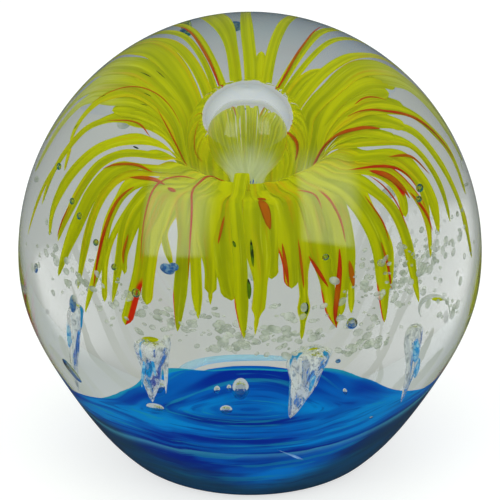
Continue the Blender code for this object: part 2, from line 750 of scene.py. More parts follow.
@dataclass(frozen=True)
class Run:
    """A smooth run through design points, measured along its own length."""

    stops: Sequence[Sequence[float]]
    fine: int = 24

    def samples(self) -> tuple[np.ndarray, np.ndarray]:
        """Close points along the run.

        Returns:
            The distance of each from the start, and the points.
        """
        fixed = np.array(self.stops, float)
        padded = np.vstack([2 * fixed[0] - fixed[1], fixed, 2 * fixed[-1] - fixed[-2]])
        share = np.linspace(0.0, 1.0, self.fine, endpoint=False)[:, None]
        pieces = []
        for before, start, end, after in zip(padded, padded[1:], padded[2:], padded[3:]):
            bend = 2 * before - 5 * start + 4 * end - after
            twist = 3 * (start - end) + after - before
            pieces.append(0.5 * (2 * start + (end - before) * share + bend * share**2 + twist * share**3))
        points = np.vstack([*pieces, fixed[-1:]])
        steps = np.linalg.norm(np.diff(points, axis=0), axis=1)
        return np.concatenate([[0.0], np.cumsum(steps)]), points

    def read(self, where: np.ndarray) -> np.ndarray:
        """The points at given distances from the start."""
        length, points = self.samples()
        return np.stack([np.interp(where, length, column) for column in points.T], axis=-1)

    def spread(self, shares: np.ndarray) -> np.ndarray:
        """The points at given shares of the whole length."""
        return self.read(self.samples()[0][-1] * shares)


# ------------------------------------------------------------------ the ball


@dataclass(frozen=True)
class Ball:
    """The solid clear ball: domed over its widest circle, drawn in to a flat foot under it."""

    seat: Seat
    foot: float
    taper: float = 1.12
    drawn_in: float = 0.077
    drawn_in_depth: float = 0.035 / 0.045
    edge: float = 0.0017 / 0.045
    crown_steps: int = 64
    taper_steps: int = 52
    edge_steps: int = 8
    foot_steps: int = 5
    turn_steps: int = 192

    def wall(self, level: np.ndarray | float) -> np.ndarray:
        """The ball's radius at a level.

        Args:
            level: height over the widest circle, in radii.

        Returns:
            The radius there, in radii.
        """
        level = np.asarray(level, float)
        above = np.sqrt(np.clip(1.0 - (level / CROWN) ** 2, 0.0, 1.0))
        below = np.sqrt(np.clip(1.0 - (level / self.taper) ** 2, 0.0, 1.0))
        share = np.clip(-level / self.drawn_in_depth, 0.0, 1.0)
        smoother = share**3 * (6.0 * share**2 - 15.0 * share + 10.0)
        return np.where(level >= 0.0, above, below * (1.0 - self.drawn_in * smoother))

    def outline(self) -> np.ndarray:
        """The ball's half outline from near the crown to near the foot's middle.

        Returns:
            Pairs of radius and level.
        """
        tilt = np.linspace(0.0, math.pi / 2, self.crown_steps + 1)[1:]
        dome = np.stack([np.sin(tilt), CROWN * np.cos(tilt)], axis=1)
        lowest = math.asin((self.foot - self.edge) / self.taper)
        depth = self.taper * np.sin(np.linspace(0.0, lowest, self.taper_steps + 1)[1:])
        side = np.stack([self.wall(-depth), -depth], axis=1)
        slope = side[-1] - side[-2]
        corner = side[-1] + slope * ((-self.foot - side[-1][1]) / slope[1])
        inner = np.array([corner[0] - np.linalg.norm(corner - side[-1]), -self.foot])
        share = np.linspace(0.0, 1.0, self.edge_steps + 1)[1:, None]
        rounded = side[-1] * (1 - share) ** 2 + corner * 2 * share * (1 - share) + inner * share**2
        flat = np.linspace(inner[0], 0.0, self.foot_steps + 1)[1:-1]
        base = np.stack([flat, np.full_like(flat, -self.foot)], axis=1)
        return np.vstack([dome, side, rounded, base])

    def build(self) -> None:
        """Makes the ball, which stands for the CAD solid."""
        outline = self.outline()
        turn = np.degrees(angles(self.turn_steps))
        grid = self.seat.at(turn[None, :], outline[:, :1], outline[:, 1:])
        draft = Draft()
        draft.skin(grid, self.seat.at(0, 0, CROWN), self.seat.at(0, 0, -self.foot))
        piece = draft.make("clear_ball", ClearGlass().build())
        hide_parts(CAD_NODE)


# ---------------------------------------------------------------- the flower


class Tip(Enum):
    """How a drawn petal ends."""

    POINTED = "pointed"
    ROUNDED = "rounded"
    NIB = "nib"
    DROP = "drop"


class Red(Enum):
    """Where red glass shows on a petal."""

    NONE = "none"
    RIGHT = "right"
    TIP_RIGHT = "tip_right"
    EDGE_LEFT = "edge_left"
    PATCH = "patch"


@dataclass(frozen=True)
class Petal:
    """One drawn petal, laid through pairs of azimuth and distance past the ridge.

    It is broad over the fold, comes free of its neighbours at a distance, and hangs as a finger.
    """

    route: tuple[Span, ...]
    broad: float = 0.038
    finger: float = 0.020
    free: float = 0.36
    tip: Tip = Tip.POINTED
    red: Red = Red.NONE
    lift: float = 0.0
    faint: float = 0.0
    crest: float = 0.0


@dataclass(frozen=True)
class Thread:
    """A fine thread laid on the petals, through pairs of azimuth and distance past the ridge."""

    route: tuple[Span, ...]
    breadth: float = 0.0035
    tone: float = 0.0


FRONT_PETALS = (
    Petal(((-31, 0.04), (-41, 0.12), (-48, 0.19), (-52, 0.33), (-53, 0.50), (-57, 0.71)), 0.050, 0.022, 0.20),
    Petal(((-40, 0.12), (-50, 0.42), (-49, 0.64)), 0.012, 0.014, 0.20, Tip.ROUNDED, lift=-0.004),
    Petal(((-32, 0.09), (-40, 0.18), (-45, 0.30), (-45, 0.46), (-46, 0.63)), 0.048, 0.022, 0.18),
    Petal(((-34, 0.14), (-41, 0.28), (-43, 0.42), (-42, 0.51)), 0.030, 0.013, 0.40),
    Petal(((-28, 0.06), (-35, 0.19), (-37, 0.33), (-37, 0.50), (-41, 0.70)),
        0.050, 0.026, 0.30, Tip.ROUNDED, Red.TIP_RIGHT),
    Petal(((-29, 0.08), (-33, 0.26), (-33, 0.45), (-33, 0.60)), 0.048, 0.024, 0.34, Tip.ROUNDED),
    Petal(((-25, 0.05), (-29, 0.20), (-30, 0.31), (-28, 0.37), (-25, 0.44)), 0.048, 0.016, 0.26),
    Petal(((-22, 0.00), (-23, 0.20), (-22, 0.45), (-23, 0.68)), 0.048, 0.027, 0.26, red=Red.EDGE_LEFT),
    Petal(((-18, 0.00), (-19, 0.25), (-18, 0.42), (-16, 0.62)), 0.048, 0.021, 0.34),
    Petal(((-14, 0.02), (-15, 0.25), (-13, 0.42), (-12, 0.56)), 0.048, 0.023, 0.38, Tip.NIB, crest=0.012),
    Petal(((-10, 0.02), (-10, 0.20), (-8, 0.40), (-6, 0.54)), 0.050, 0.034, 0.42),
    Petal(((-5, -0.08), (-5, 0.17), (-3, 0.46), (-2, 0.68)),
        0.024, 0.026, 0.30, red=Red.EDGE_LEFT, lift=0.014, crest=0.055),
    Petal(((2, 0.02), (2, 0.22), (3, 0.46), (2, 0.67)), 0.048, 0.025, 0.42, Tip.NIB),
    Petal(((6, 0.02), (7, 0.25), (7, 0.46)), 0.040, 0.027, 0.34, crest=0.025),
    Petal(((10, 0.00), (12, 0.22), (13, 0.50)), 0.050, 0.029, 0.36, Tip.ROUNDED, Red.EDGE_LEFT),
    Petal(((15, 0.00), (17, 0.20), (17, 0.50), (16, 0.70)), 0.050, 0.020, 0.40, Tip.DROP, crest=0.012),
    Petal(((21, 0.00), (24, 0.21), (25, 0.49), (27, 0.67)), 0.056, 0.028, 0.44, red=Red.EDGE_LEFT),
    Petal(((27, 0.00), (31, 0.22), (31, 0.40), (29, 0.63)), 0.050, 0.016, 0.50),
    Petal(((30, 0.00), (33, 0.22), (33, 0.47), (32, 0.63)), 0.030, 0.014, 0.46),
    Petal(((33, 0.02), (37, 0.16), (42, 0.29), (45, 0.45), (44, 0.70)),
        0.050, 0.036, 0.18, red=Red.EDGE_LEFT),
    Petal(((38, 0.04), (42, 0.16), (46, 0.31), (48.5, 0.44), (46, 0.59)), 0.044, 0.024, 0.22, Tip.ROUNDED),
    Petal(((40, 0.04), (47, 0.18), (54, 0.29), (57, 0.42), (58, 0.56), (59, 0.68)), 0.044, 0.026, 0.18),
    Petal(((45, 0.04), (57, 0.19), (61, 0.27), (60, 0.36)), 0.040, 0.026, 0.13, Tip.ROUNDED, Red.PATCH),
    Petal(((50, 0.04), (60, 0.16), (67, 0.30), (70, 0.42), (68, 0.55)), 0.048, 0.020, 0.14, red=Red.RIGHT))

SIDE_PETALS = (
    Petal(((-90, -0.30), (-88, -0.08), (-93, 0.04)), 0.046, 0.040, 0.10, Tip.ROUNDED),
    Petal(((-80, -0.06), (-87, 0.05), (-92, 0.20), (-94, 0.34), (-93, 0.49)), 0.040, 0.020, 0.00),
    Petal(((-88, 0.02), (-93, 0.30), (-97, 0.45), (-101, 0.64)), 0.020, 0.011, 0.10),
    Petal(((-104, 0.08), (-98, 0.22), (-92, 0.26), (-87, 0.32)), 0.030, 0.022, 0.10),
    Petal(((-64, -0.08), (-71, 0.04), (-76, 0.18), (-81, 0.31), (-84, 0.45), (-82, 0.54)),
        0.048, 0.031, 0.02),
    Petal(((-53, -0.02), (-62, 0.06), (-67, 0.16), (-71, 0.27), (-75, 0.45), (-76, 0.53)),
        0.048, 0.026, 0.05),
    Petal(((-41, 0.00), (-48, 0.06), (-56, 0.12), (-64, 0.27), (-67, 0.40), (-72, 0.64)), 0.048, 0.038, 0.10),
    Petal(((-37, 0.02), (-49, 0.11), (-57, 0.22), (-60, 0.36), (-61, 0.64)), 0.038, 0.022, 0.16),
    Petal(((56, 0.02), (67, 0.13), (75, 0.27), (77, 0.38), (75, 0.49)), 0.052, 0.034, 0.22),
    Petal(((56, 0.06), (66, 0.18), (72, 0.30), (72, 0.42)), 0.030, 0.018, 0.20),
    Petal(((64, -0.03), (77, 0.11), (83, 0.22), (85, 0.36), (84, 0.50)), 0.050, 0.018, 0.12),
    Petal(((76, -0.04), (87, 0.12), (93, 0.30), (96, 0.50), (97, 0.70)), 0.024, 0.018, 0.38, Tip.DROP),
    Petal(((88, -0.10), (94, 0.03), (103, 0.25), (107, 0.38), (104, 0.52)), 0.050, 0.026, 0.08),
    Petal(((104, -0.24), (104, -0.02), (106, 0.05)), 0.050, 0.050, 0.30, Tip.ROUNDED),
    Petal(((118, -0.14), (117, 0.01), (120, 0.20), (122, 0.40), (121, 0.52)), 0.060, 0.040, 0.10, faint=0.6),
    Petal(((-102, -0.30), (-99, -0.12), (-101, 0.02), (-110, 0.14), (-115, 0.30), (-116, 0.52)),
        0.050, 0.026, 0.14, faint=0.7),
    Petal(((-114, -0.30), (-109, -0.15), (-112, 0.02), (-120, 0.20), (-125, 0.48)),
        0.052, 0.028, 0.20, faint=0.8),
    Petal(((-127, -0.28), (-122, -0.12), (-124, 0.04), (-131, 0.22), (-134, 0.52)),
        0.052, 0.028, 0.18, faint=0.7),
    Petal(((-138, -0.25), (-136, -0.08), (-138, 0.08), (-141, 0.48)), 0.046, 0.024, 0.10, faint=0.3),
    Petal(((78, -0.34), (82, -0.12), (87, 0.12)), 0.050, 0.036, 0.04),
    Petal(((93, -0.34), (97, -0.14), (100, 0.11)), 0.050, 0.036, 0.02),
    Petal(((112, -0.32), (111, -0.14), (113, 0.09)), 0.048, 0.034, 0.00),
    Petal(((62, -0.34), (70, -0.12), (78, 0.10)), 0.046, 0.030, 0.02),
    Petal(((-74, -0.34), (-78, -0.14), (-80, 0.00)), 0.046, 0.036, 0.06, Tip.ROUNDED),
    Petal(((-118, -0.32), (-116, -0.16), (-116, -0.02)), 0.044, 0.036, 0.06, Tip.ROUNDED))

BACK_PETALS = (
    Petal(((133, -0.27), (127, -0.21), (121, -0.11), (125, 0.15), (129, 0.50)),
        0.045, 0.026, 0.12, faint=0.6),
    Petal(((146, -0.27), (139, -0.20), (134, -0.11), (132, 0.00), (135, 0.20), (137, 0.46)),
        0.022, 0.016, 0.00, faint=0.4),
    Petal(((152, -0.25), (147, -0.19), (141, -0.14), (136, -0.11)), 0.020, 0.020, 0.20, Tip.ROUNDED),
    Petal(((157, -0.24), (150, -0.15), (146, -0.06), (145, 0.05), (146, 0.43)),
        0.010, 0.011, 0.00, faint=0.3),
    Petal(((162, -0.25), (155, -0.15), (152, -0.06), (152, 0.05), (153, 0.38)), 0.013, 0.013, 0.00),
    Petal(((170, -0.24), (169, -0.12), (167, -0.02), (166, 0.10), (167, 0.40)),
        0.016, 0.012, 0.05, faint=0.2),
    Petal(((174, -0.28), (174, -0.12)), 0.018, 0.018, 0.10, Tip.ROUNDED),
    Petal(((179, -0.24), (180, -0.14), (181, 0.00), (181, 0.42)), 0.019, 0.014, 0.00, faint=0.5),
    Petal(((-171, -0.26), (-170, -0.08), (-168, 0.06), (-168, 0.40)), 0.018, 0.034, -0.05, faint=0.5),
    Petal(((-162, -0.22), (-159, -0.11), (-157, 0.05), (-157, 0.36)), 0.011, 0.011, 0.00),
    Petal(((-156, -0.22), (-152, -0.06), (-150, 0.10), (-150, 0.42)), 0.010, 0.014, 0.00, faint=0.3),
    Petal(((-150, -0.24), (-147, -0.10), (-144, 0.08), (-144, 0.46)), 0.018, 0.014, 0.00, faint=0.3))

RED_THREADS = (
    Thread(((-12, -0.02), (-16, -0.09), (-22, -0.09), (-24, 0.03), (-23, 0.12), (-20.5, 0.25),
        (-19.4, 0.47)), 0.0045),
    Thread(((-26, 0.00), (-33, 0.02), (-37, 0.09), (-38, 0.245), (-36.3, 0.435)), 0.004),
    Thread(((-66, -0.05), (-77, -0.035), (-86, 0.065)), 0.004),
    Thread(((-44, 0.075), (-52, 0.085), (-60, 0.145), (-64, 0.19)), 0.006),
    Thread(((-35, 0.12), (-41, 0.115), (-50, 0.16)), 0.008),
    Thread(((-29, 0.145), (-33, 0.135)), 0.007),
    Thread(((-46, 0.19), (-49.4, 0.235), (-51.4, 0.285), (-52.5, 0.385), (-53.2, 0.60)), 0.008),
    Thread(((-60, -0.26), (-75, -0.245), (-98, -0.13))),
    Thread(((-111, -0.26), (-111, -0.18), (-109, -0.10), (-106.5, -0.03), (-105, 0.04), (-103, 0.13)),
        0.0028, 1.0),
    Thread(((66, -0.28), (70, -0.25), (74, -0.21), (72.5, -0.14), (72, -0.06), (74, -0.02), (77, 0.03)),
        0.015, 0.5),
    Thread(((87, -0.105), (89, 0.005), (94, 0.105), (101.5, 0.255), (106, 0.40)), 0.007),
    Thread(((95, -0.08), (98, -0.04), (98, 0.03)), 0.004),
    Thread(((65, 0.13), (75, 0.195), (80, 0.295)), 0.006),
    Thread(((46, 0.07), (60, 0.155), (67, 0.225), (70, 0.31)), 0.006),
    Thread(((65, 0.29), (69, 0.385), (70, 0.46)), 0.007),
    Thread(((52, 0.13), (58, 0.195), (62, 0.255), (63.6, 0.305)), 0.013),
    Thread(((50, 0.15), (56, 0.27), (58, 0.40)), 0.0035),
    Thread(((20, 0.07), (24.7, 0.145), (26, 0.225))),
    Thread(((27, 0.12), (31.6, 0.255), (32.3, 0.36)), 0.005),
    Thread(((3.2, 0.07), (6, 0.13)), 0.009),
    Thread(((10.6, 0.33), (12, 0.49)), 0.007),
    Thread(((16, 0.32), (16.7, 0.50)), 0.005),
    Thread(((19, 0.385), (24.6, 0.51)), 0.007),
    Thread(((29.7, 0.38), (28.9, 0.455), (26.6, 0.60), (26.7, 0.67)), 0.0115),
    Thread(((32.6, 0.43), (33.2, 0.53)), 0.011),
    Thread(((44, 0.22), (48, 0.33), (48.9, 0.41)), 0.004),
    Thread(((45.5, 0.40), (46.5, 0.48), (47, 0.58)), 0.006),
    Thread(((-9, 0.23), (-10.5, 0.33)), 0.005),
    Thread(((-159, -0.23), (-157, -0.16), (-155, -0.08), (-154, 0.04)), 0.005),
    Thread(((162, -0.24), (157, -0.18), (154, -0.10), (153, -0.04), (154, 0.05)), 0.004, 0.4),
    Thread(((-42.5, 0.36), (-43, 0.43), (-42.4, 0.47)), 0.006, 0.8),
    Thread(((-73.0, 0.38), (-74.5, 0.45), (-75, 0.51)), 0.004, 0.6),
    Thread(((3.6, 0.125), (5.3, 0.195), (6.8, 0.275)), 0.017, 1.0))

DARK_FLECKS = (
    Thread(((-5.6, 0.315), (-4.4, 0.345)), 0.007),
    Thread(((-0.6, 0.455), (-0.2, 0.53)), 0.010),
    Thread(((0.3, 0.31), (1.0, 0.41)), 0.006),
    Thread(((17.2, 0.555), (17.2, 0.60)), 0.010),
    Thread(((-60, 0.02), (-63, 0.03)), 0.004),
    Thread(((-124, -0.11), (-124, -0.07)), 0.0015),
    Thread(((-118, -0.07), (-118, -0.03)), 0.0018),
    Thread(((-104, 0.065), (-104, 0.085)), 0.002),
    Thread(((-104.5, -0.10), (-104, -0.07)), 0.0018),
    Thread(((-95, -0.09), (-94, -0.06)), 0.0015),
    Thread(((-97, 0.185), (-97, 0.21)), 0.0025))


@dataclass(frozen=True)
class Flower:
    """The flower: petals rise from a throat, fold over a ring and hang down, split to fingers."""

    seat: Seat
    fold: Run = Run((
        (0.015, -0.08), (0.06, -0.05), (0.125, 0.04), (0.175, 0.16), (0.212, 0.30), (0.242, 0.42),
        (0.318, 0.515), (0.42, 0.55), (0.54, 0.48), (0.62, 0.33), (0.665, 0.15), (0.68, -0.05),
        (0.675, -0.16)))
    throat: float = 0.80
    throat_sheet: float = 8.0
    nearest: float = 0.012
    thickness: float = 0.0065
    thinnest: float = 0.0012
    narrowing: float = 0.14
    shortest_finger: float = 0.04
    rounding: float = 0.03
    along: int = 60
    around: int = 14
    thread_along: int = 36
    thread_around: int = 8
    thread_height: float = 0.013
    thread_depth: float = 0.004
    thread_seed: float = 0.37
    front_drop: float = 0.125
    front_breadth: float = 72.0
    notch: float = 0.025
    notch_breadth: float = 14.0
    sag_start: Span = (-0.60, -0.15)
    sag_end: Span = (-0.02, 0.22)
    nib_neck: float = 0.35
    nib_shoulder: Span = (0.38, 0.55)
    nib_end: float = 0.25
    nib_power: float = 0.7
    drop_neck: float = 0.45
    drop_shoulder: Span = (0.5, 1.0)
    drop_swell: float = 0.016
    drop_place: Span = (0.52, 0.16)
    point_start: float = 2.4
    point_power: float = 0.6
    roots: Span = (0.02, 0.12)
    crowding: float = 1.15
    thin_share: float = 0.4
    thickening: Span = (0.15, 0.40)
    roundness: float = 0.8
    most_tilt: float = 0.03
    most_lift: float = 0.003
    sway: float = 0.25
    swell: float = 0.002
    waves: Spot = (7.0, 15.0, 9.0)
    crest_place: Span = (-0.08, 0.07)
    root_fade: float = 0.14
    root_breadth: float = 50.0
    seed: int = 11

    def dip(self, azimuth: np.ndarray, past: np.ndarray) -> np.ndarray:
        """How much lower the fold lies towards the front than round the rest of the ring.

        Args:
            azimuth: degrees round the axis.
            past: distances past the ridge, in radii.

        Returns:
            The drop in level, in radii.
        """
        sag = self.front_drop * hump(azimuth, 0.0, self.front_breadth)
        sag = sag + self.notch * hump(azimuth, 0.0, self.notch_breadth)
        return sag * ease(past, *self.sag_start) * (1.0 - ease(past, *self.sag_end))

    def breadth(self, petal: Petal, past: np.ndarray, end: float) -> np.ndarray:
        """Half the petal's breadth along it.

        Args:
            petal: the petal.
            past: distances past the ridge, in radii.
            end: the distance of its tip.

        Returns:
            The half breadths, in radii.
        """
        reach = self.fold.read(past + self.throat)[:, 0]
        sheet = np.minimum(reach * math.radians(self.throat_sheet), petal.broad)
        stop = min(petal.free + self.narrowing / 2, end - self.shortest_finger)
        half = sheet + (petal.finger - sheet) * ease(past, stop - self.narrowing, stop)
        left = np.clip((end - past) / max(end - stop, 0.05), 0.0, 1.0)
        rounded = np.sqrt(np.clip((end - past) / self.rounding, 0.0, 1.0))
        if petal.tip is Tip.ROUNDED:
            return half * rounded
        if petal.tip is Tip.NIB:
            neck = self.nib_neck + (1.0 - self.nib_neck) * ease(left, *self.nib_shoulder)
            return half * neck * np.minimum(left / self.nib_end, 1.0) ** self.nib_power
        if petal.tip is Tip.DROP:
            neck = self.drop_neck + (1.0 - self.drop_neck) * ease(left, *self.drop_shoulder)
            return (half * neck + self.drop_swell * hump(left, *self.drop_place)) * rounded
        return half * np.minimum(left * self.point_start, 1.0) ** self.point_power

    @staticmethod
    def red_share(petal: Petal, past: np.ndarray, across: np.ndarray, end: float) -> np.ndarray:
        """How red the petal is.

        Args:
            petal: the petal.
            past: distances past the ridge, as a column.
            across: -1 to 1 across the petal.
            end: the distance of its tip.

        Returns:
            0 for yellow to 1 for red, at each point.
        """
        if petal.red is Red.RIGHT:
            return ease(across, 0.35, 0.9) * ease(past, 0.0, 0.15)
        if petal.red is Red.TIP_RIGHT:
            return ease(across, -0.05, 0.4) * ease(past, end - 0.26, end - 0.12)
        if petal.red is Red.EDGE_LEFT:
            return 0.9 * ease(-across, 0.72, 0.95) * ease(past, end - 0.20, end - 0.12)
        if petal.red is Red.PATCH:
            return ease(past, 0.13, 0.18) * ease(across, -0.6, 0.3) * (1.0 - ease(past, 0.26, 0.32))
        return np.zeros(np.broadcast(past, across).shape)

    def on_fold(
        self, azimuth: np.ndarray, past: np.ndarray, height: np.ndarray, side: np.ndarray,
        slide: np.ndarray | float = 0.0,
    ) -> np.ndarray:
        """Points laid on the fold.

        Args:
            azimuth: degrees round the axis, row by row.
            past: distances past the ridge, row by row.
            height: how far each point stands off the fold.
            side: how far each lies to the right of its row's azimuth.
            slide: how far each lies onwards from its row.

        Returns:
            The points, in metres.
        """
        where, pace = past + self.throat, 0.01
        spine = self.fold.read(where)
        ahead = self.fold.read(where + pace) - self.fold.read(where - pace)
        ahead /= np.linalg.norm(ahead, axis=1, keepdims=True)
        reach = spine[:, :1] - ahead[:, 1:] * height + ahead[:, :1] * slide
        level = spine[:, 1:] + ahead[:, :1] * height + ahead[:, 1:] * slide
        swing = np.degrees(side / np.maximum(reach, self.nearest))
        return self.seat.at(azimuth[:, None] + swing, reach, level - self.dip(azimuth, past)[:, None])

    def lay(self, draft: Draft, petal: Petal, rng: np.random.Generator) -> None:
        """Draws one petal.

        Args:
            draft: the mesh that it joins.
            petal: the petal.
            rng: the source of its small irregularities.
        """
        end = petal.route[-1][1]
        root = rng.uniform(*self.roots) - self.throat
        past = root + (end - root) * (1.0 - (1.0 - np.linspace(0.0, 1.0, self.along)) ** self.crowding)
        half = np.maximum(self.breadth(petal, past, end), self.thinnest)[:, None]
        angle = angles(self.around)[None, :]
        across = np.cos(angle)
        full = self.thin_share + (1.0 - self.thin_share) * ease(past, *self.thickening)[:, None]
        depth = np.minimum(self.thickness * full, half * self.roundness)
        tilt = rng.uniform(-self.most_tilt, self.most_tilt)
        lift = petal.lift * ease(past, -0.15, 0.0) + rng.uniform(-self.most_lift, self.most_lift)
        phases = rng.uniform(0.0, 2 * math.pi, 3)
        slow, quick, upward = (np.sin(past * wave + phase) for wave, phase in zip(self.waves, phases))
        sway = self.sway * (slow + quick)
        swell = lift + petal.crest * hump(past, *self.crest_place) + self.swell * upward
        height = swell[:, None] + depth * np.sin(angle) + tilt * half * across
        _, course = Run(petal.route).samples()
        azimuth = np.interp(past, course[:, 1], course[:, 0]) + sway * ease(past, -0.6, 0.0)
        draft.skin(
            self.on_fold(azimuth, past, height, half * across),
            across=across, along=past[:, None], seed=rng.uniform(0, 1),
            red=self.red_share(petal, past[:, None], across, end),
            faint=petal.faint * ease(past, -0.05, 0.22)[:, None],
            root=(past + self.root_fade * (1.0 - hump(azimuth, 0.0, self.root_breadth)))[:, None])

    def stitch(self, draft: Draft, thread: Thread, seed: float) -> None:
        """Lays one fine thread over the petals.

        Args:
            draft: the mesh that it joins.
            thread: the thread.
            seed: a number that sets its colour apart.
        """
        share = np.linspace(0.0, 1.0, self.thread_along)
        course = Run([(azimuth * SQUEEZE, past) for azimuth, past in thread.route]).spread(share)
        azimuth, past = course[:, 0] / SQUEEZE, course[:, 1]
        half = thread.breadth * np.clip(np.sin(math.pi * share), 0.05, 1.0)[:, None] ** 0.6
        sideways = np.gradient(np.radians(azimuth)) * self.fold.read(past + self.throat)[:, 0]
        onward = np.gradient(past)
        pace = np.hypot(sideways, onward)
        angle = angles(self.thread_around)[None, :]
        height = self.thread_height + np.minimum(half * 0.6, self.thread_depth) * np.sin(angle)
        across = half * np.cos(angle)
        side, slide = across * (onward / pace)[:, None], -across * (sideways / pace)[:, None]
        grid = self.on_fold(azimuth, past, height, side, slide)
        draft.skin(grid, along=past[:, None], seed=seed, tone=thread.tone)

    def build(self) -> None:
        """Makes the petals, the red threads and the dark flecks."""
        rng = np.random.default_rng(self.seed)
        petals = Draft()
        for petal in (*SIDE_PETALS, *BACK_PETALS, *FRONT_PETALS):
            self.lay(petals, petal, rng)
        petals.make("petals", PetalGlass().build())
        for name, threads, finish, slot in (
            ("red_threads", RED_THREADS, RedGlass(), "red_glass"),
            ("dark_flecks", DARK_FLECKS, DARK_SPECKS, "yellow_glass"),
        ):
            draft = Draft()
            for number, thread in enumerate(threads):
                self.stitch(draft, thread, number * self.thread_seed)
            draft.make(name, finish.build())


# ------------------------------------------------------------------- the bed


@dataclass(frozen=True)
class Bed:
    """The blue bed that fills the bottom of the ball: a low mound, with a dip in its back rim."""

    ball: Ball
    plateau: float = -0.43
    dip: float = 0.135
    dip_start: float = 0.28
    dip_end: float = 0.78
    dip_breadth: float = 0.28
    shoulder: float = 0.032
    front_fall: float = 0.13
    left_fall: float = 0.08
    left_step: float = 0.012
    right_step: float = 0.0065
    right_rise: float = 0.015
    shoulder_span: Span = (0.08, 0.17)
    front_span: Span = (0.1, 0.8)
    left_spans: tuple[Span, Span] = ((0.255, 0.285), (0.40, 0.65))
    right_spans: tuple[Span, Span] = ((0.22, 0.28), (0.3, 0.6))
    ripple: float = 0.002
    ripple_rate: float = 30.0
    ripple_slant: float = 3.0
    casing: float = 0.988
    base: float = -0.875
    first_edge: float = 0.85
    lip: float = 1.5
    heels: tuple[Spot, ...] = ((-0.262, 0.25, 0.10), (0.262, 0.285, 0.05))
    heel_breadth: float = 0.036
    settling_steps: int = 12
    rings: int = 60
    wall_steps: int = 24
    under_steps: int = 8
    turn_steps: int = 180

    def top(self, across: np.ndarray, back: np.ndarray) -> np.ndarray:
        """The level of the mound.

        Args:
            across: distance to the right of the axis, in radii.
            back: distance behind the axis.

        Returns:
            The level over the widest circle.
        """
        start = self.dip_start + self.shoulder * ease(np.abs(across), *self.shoulder_span)
        slope = np.clip((back - start) / (self.dip_end - start), 0.0, 1.1)
        dip = self.dip * slope * np.exp(-((across / self.dip_breadth) ** 4))
        front = self.front_fall * ease(-back, *self.front_span)
        left_step, left_fall = (ease(-across, *span) for span in self.left_spans)
        right_step, right_rise = (ease(across, *span) for span in self.right_spans)
        left = self.left_step * left_step + self.left_fall * left_fall
        right = self.right_step * right_step + self.right_rise * right_rise
        ripple = self.ripple * np.sin(self.ripple_rate * np.hypot(across, back) + self.ripple_slant * across)
        return self.plateau - dip - front - left + right + ripple

    def stains(self, aside: np.ndarray, behind: np.ndarray) -> dict[str, np.ndarray]:
        """Marks for the turquoise brow of the mound and the navy heels at its two back ends.

        Args:
            aside: distance of each point to the right of the axis, in radii.
            behind: its distance behind the axis.

        Returns:
            The marks by name.
        """
        brow = ease(behind, 0.32, 0.39) * (1.0 - ease(behind, 0.46, 0.52))
        heels = [np.exp(-(((aside - side) / self.heel_breadth) ** 4)) * hump(behind, back, depth)
                 for side, back, depth in self.heels]
        return {"brow": brow * (1.0 - ease(np.abs(aside), 0.25, 0.50)), "heel": sum(heels)}

    def build(self) -> None:
        """Makes the bed, its top wound from the middle outwards and on down its wall and under it."""
        turn = angles(self.turn_steps)[None, :]
        across, back = np.sin(turn), -np.cos(turn)
        edge = np.full_like(turn, self.first_edge)
        for _ in range(self.settling_steps):
            edge = self.ball.wall(self.top(across * edge, back * edge)) * self.casing
        reach = np.linspace(0.02, 1.0, self.rings)[:, None] * edge
        top = self.top(across * reach, back * reach)
        low = top[-1:] + (self.base - top[-1:]) * np.linspace(0.0, 1.0, self.wall_steps)[1:, None]
        wall = self.ball.wall(low) * self.casing
        under = wall[-1:] * np.linspace(1.0, 0.1, self.under_steps)[1:, None]
        reach = np.concatenate([reach, wall, under])
        level = np.concatenate([top, low, np.full_like(under, self.base)])
        steps = np.hypot(np.diff(reach, axis=0), np.diff(level, axis=0))
        wound = reach[:1] + np.concatenate([np.zeros_like(reach[:1]), np.cumsum(steps, axis=0)])
        lip = hump(np.arange(len(reach))[:, None], self.rings - 1, self.lip)
        draft = Draft()
        draft.skin(
            self.ball.seat.at(np.degrees(turn), reach, level), level=level, wound=wound, lip=lip,
            **self.stains(across * reach, back * reach))
        draft.make("blue_bed", BlueBed().build())


# ------------------------------------------------------- shapes sealed inside


@dataclass(frozen=True)
class Shape:
    """A closed shape, and where its own zero goes: degrees round the axis, reach and level."""

    azimuth: float
    reach: float
    level: float

    def skin(self) -> tuple[np.ndarray, ...]:
        """Its rows of points and any end points, as distances round, outwards and up from its zero."""
        raise NotImplementedError

    def add(self, draft: Draft, seat: Seat) -> None:
        """Sets the shape down in the ball.

        Args:
            draft: the mesh that it joins.
            seat: where the ball stands.
        """
        draft.skin(*(seat.set_down(part, self.azimuth, self.reach, self.level) for part in self.skin()))


@dataclass(frozen=True)
class Bubble(Shape):
    """A round or flattened bubble: its half sizes round, outwards and up, and its lean in degrees."""

    size: Spot
    lean: float = 0.0
    rings: int = 14
    around: int = 24

    def skin(self) -> tuple[np.ndarray, ...]:
        """Its rows from top to bottom, then its two poles.

        Returns:
            The rows and the poles.
        """
        polar = np.linspace(0.0, math.pi, self.rings + 2)[1:-1, None]
        turn = angles(self.around)[None, :]
        parts = np.broadcast_arrays(np.sin(polar) * np.cos(turn), np.sin(polar) * np.sin(turn), np.cos(polar))
        pole = np.array([0.0, 0.0, 1.0])
        rock = np.array(Matrix.Rotation(math.radians(self.lean), 3, "Y")).T
        return tuple((part * self.size) @ rock for part in (np.stack(parts, axis=-1), pole, -pole))


